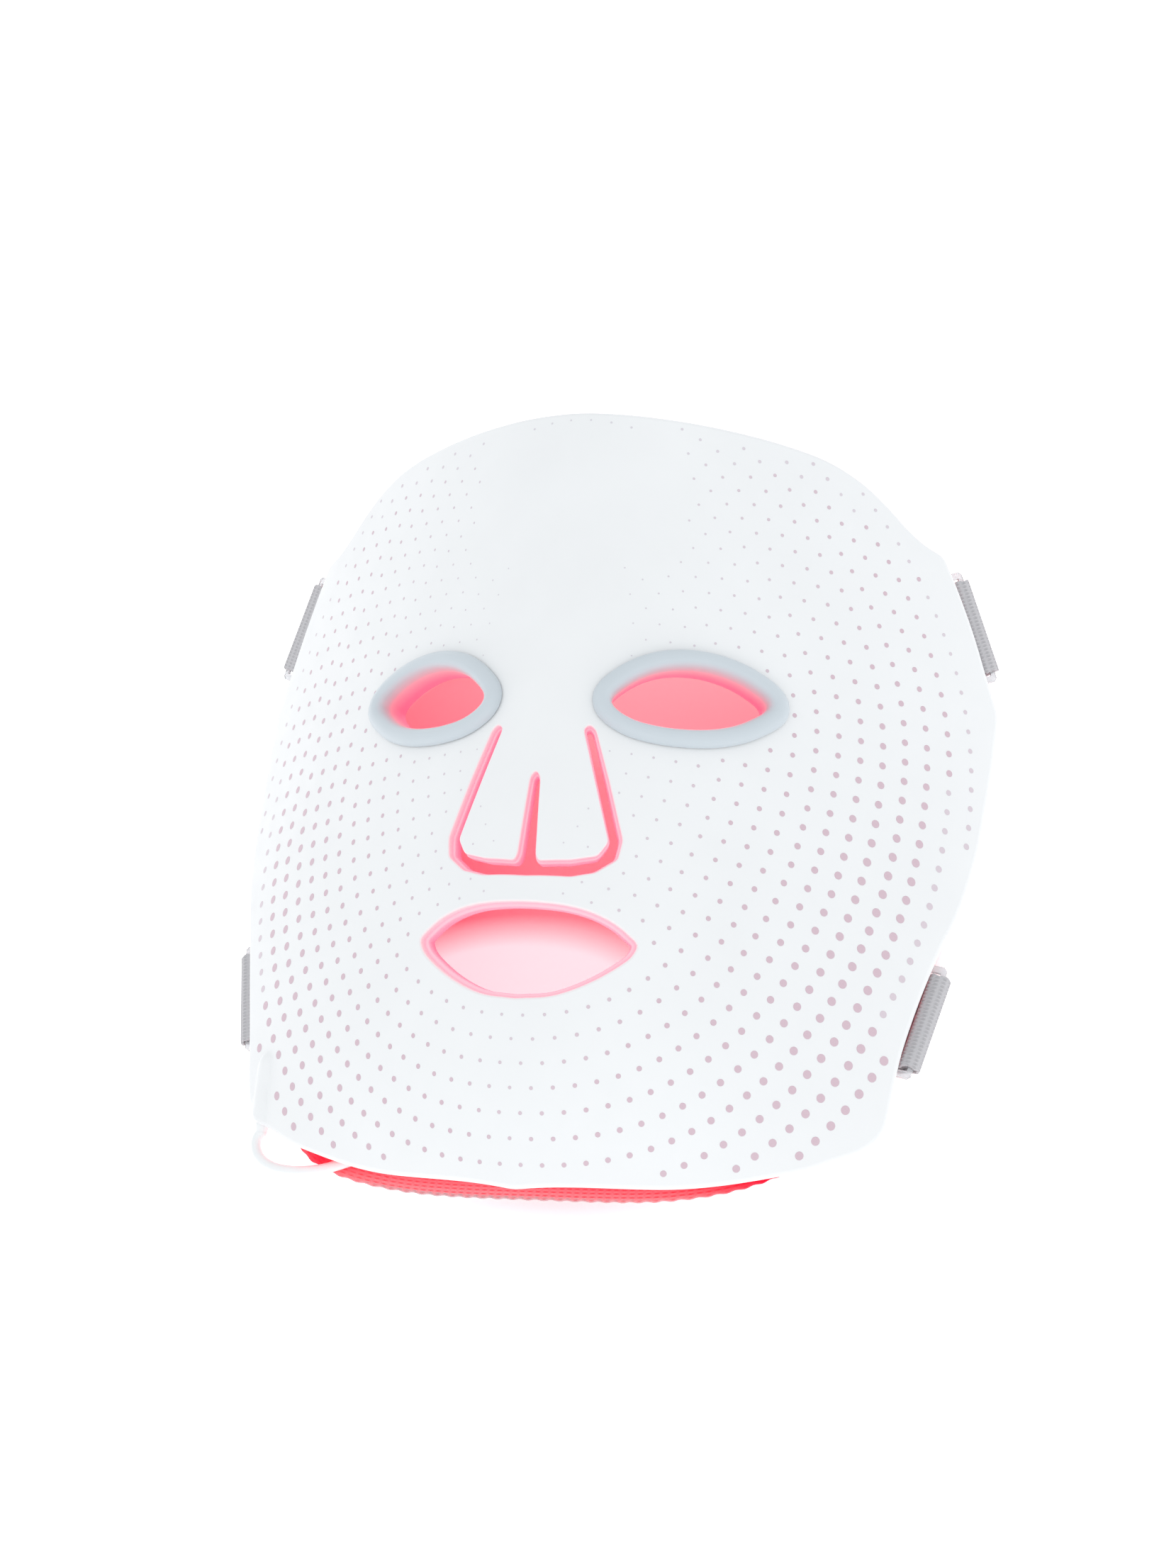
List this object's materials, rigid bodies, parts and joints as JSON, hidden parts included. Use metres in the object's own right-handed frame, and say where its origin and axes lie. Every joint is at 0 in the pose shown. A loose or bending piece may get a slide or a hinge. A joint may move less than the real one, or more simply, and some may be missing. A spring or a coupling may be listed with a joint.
{
  "type": "led face mask",
  "caption": "Flexible white face mask with holes for the eyes, nose and mouth, a lit inner face of small LEDs, elastic straps through side slots, and a thin lead with a small plug",
  "frame": {"origin": "on the table, under the centre of the mask's bounding box, lying face up on its rim", "axes": "+Z the way the face looks, -Y the chin, +Y the forehead, -X the side where the lead leaves"},
  "size_m": [0.1999, 0.1904, 0.0768],
  "materials": {
    "white_silicone": "matt silicone skin",
    "clear_silicone": "translucent silicone",
    "surround_silicone": "soft satin silicone",
    "polyimide": "satin film",
    "led_lens": "clear lenses on a thin carrier",
    "board": "solder mask",
    "clear_plastic": "clear moulded plastic",
    "strap_elastic": "knitted elastic",
    "hook_tape": "woven hook tape",
    "lead_white": "satin cable jacket",
    "tie": "soft tape",
    "steel": "nickel-plated",
    "black_plastic": "moulded"
  },
  "bodies": {
    "mask": {"coil_tie": "tie", "flex_circuit": "polyimide", "inner_liner": "clear_silicone", "junction_board": "board", "lead": "lead_white", "lead_coil": "lead_white", "lead_gland": "lead_white", "lead_tail": "lead_white", "led_strip_01": "led_lens", "led_strip_02": "led_lens", "led_strip_03": "led_lens", "led_strip_04": "led_lens", "led_strip_05": "led_lens", "led_strip_06": "led_lens", "led_strip_07": "led_lens", "led_strip_08": "led_lens", "led_strip_09": "led_lens", "led_strip_10": "led_lens", "led_strip_11": "led_lens", "led_strip_12": "led_lens", "led_strip_13": "led_lens", "led_strip_14": "led_lens", "led_strip_15": "led_lens", "led_strip_16": "led_lens", "led_strip_17": "led_lens", "led_strip_18": "led_lens", "led_strip_19": "led_lens", "led_strip_20": "led_lens", "lower_strap": "strap_elastic", "outer_shell": "white_silicone", "plug_grip": "lead_white", "plug_shell": "steel", "plug_tongue": "black_plastic", "strap_anchor_lower_left": "clear_plastic", "strap_anchor_lower_right": "clear_plastic", "strap_anchor_upper_left": "clear_plastic", "strap_anchor_upper_right": "clear_plastic", "upper_strap": "strap_elastic"},
    "eye_surround_left": {"eye_surround_left": "surround_silicone"},
    "tab_upper_left": {"tab_upper_left": "strap_elastic", "hook_patch_upper_left": "hook_tape"},
    "tab_lower_left": {"tab_lower_left": "strap_elastic", "hook_patch_lower_left": "hook_tape"},
    "eye_surround_right": {"eye_surround_right": "surround_silicone"},
    "tab_upper_right": {"tab_upper_right": "strap_elastic", "hook_patch_upper_right": "hook_tape"},
    "tab_lower_right": {"tab_lower_right": "strap_elastic", "hook_patch_lower_right": "hook_tape"}
  },
  "joints": [
    {"name": "eye_surround_left_pull", "type": "slide", "parent": "mask", "child": "eye_surround_left", "axis": [-0.4873, -0.1205, 0.8649], "range_m": [0, 0.012]},
    {"name": "eye_surround_right_pull", "type": "slide", "parent": "mask", "child": "eye_surround_right", "axis": [0.4873, -0.1205, 0.8649], "range_m": [0, 0.012]},
    {"name": "tab_upper_left_peel", "type": "hinge", "parent": "mask", "child": "tab_upper_left", "pos_m": [-0.0826, 0.06803, 0.00855], "axis": [-0.3391, -0.8529, -0.3969], "range_deg": [0, 55]},
    {"name": "tab_upper_right_peel", "type": "hinge", "parent": "mask", "child": "tab_upper_right", "pos_m": [0.0826, 0.06803, 0.00855], "axis": [-0.3391, 0.8529, 0.3969], "range_deg": [0, 55]},
    {"name": "tab_lower_left_peel", "type": "hinge", "parent": "mask", "child": "tab_lower_left", "pos_m": [-0.0721, -0.04847, 0.0021], "axis": [0.2173, -0.9761, 0], "range_deg": [0, 40]},
    {"name": "tab_lower_right_peel", "type": "hinge", "parent": "mask", "child": "tab_lower_right", "pos_m": [0.0724, -0.04697, 0.0021], "axis": [0.2173, 0.9761, 0], "range_deg": [0, 40]}
  ]
}
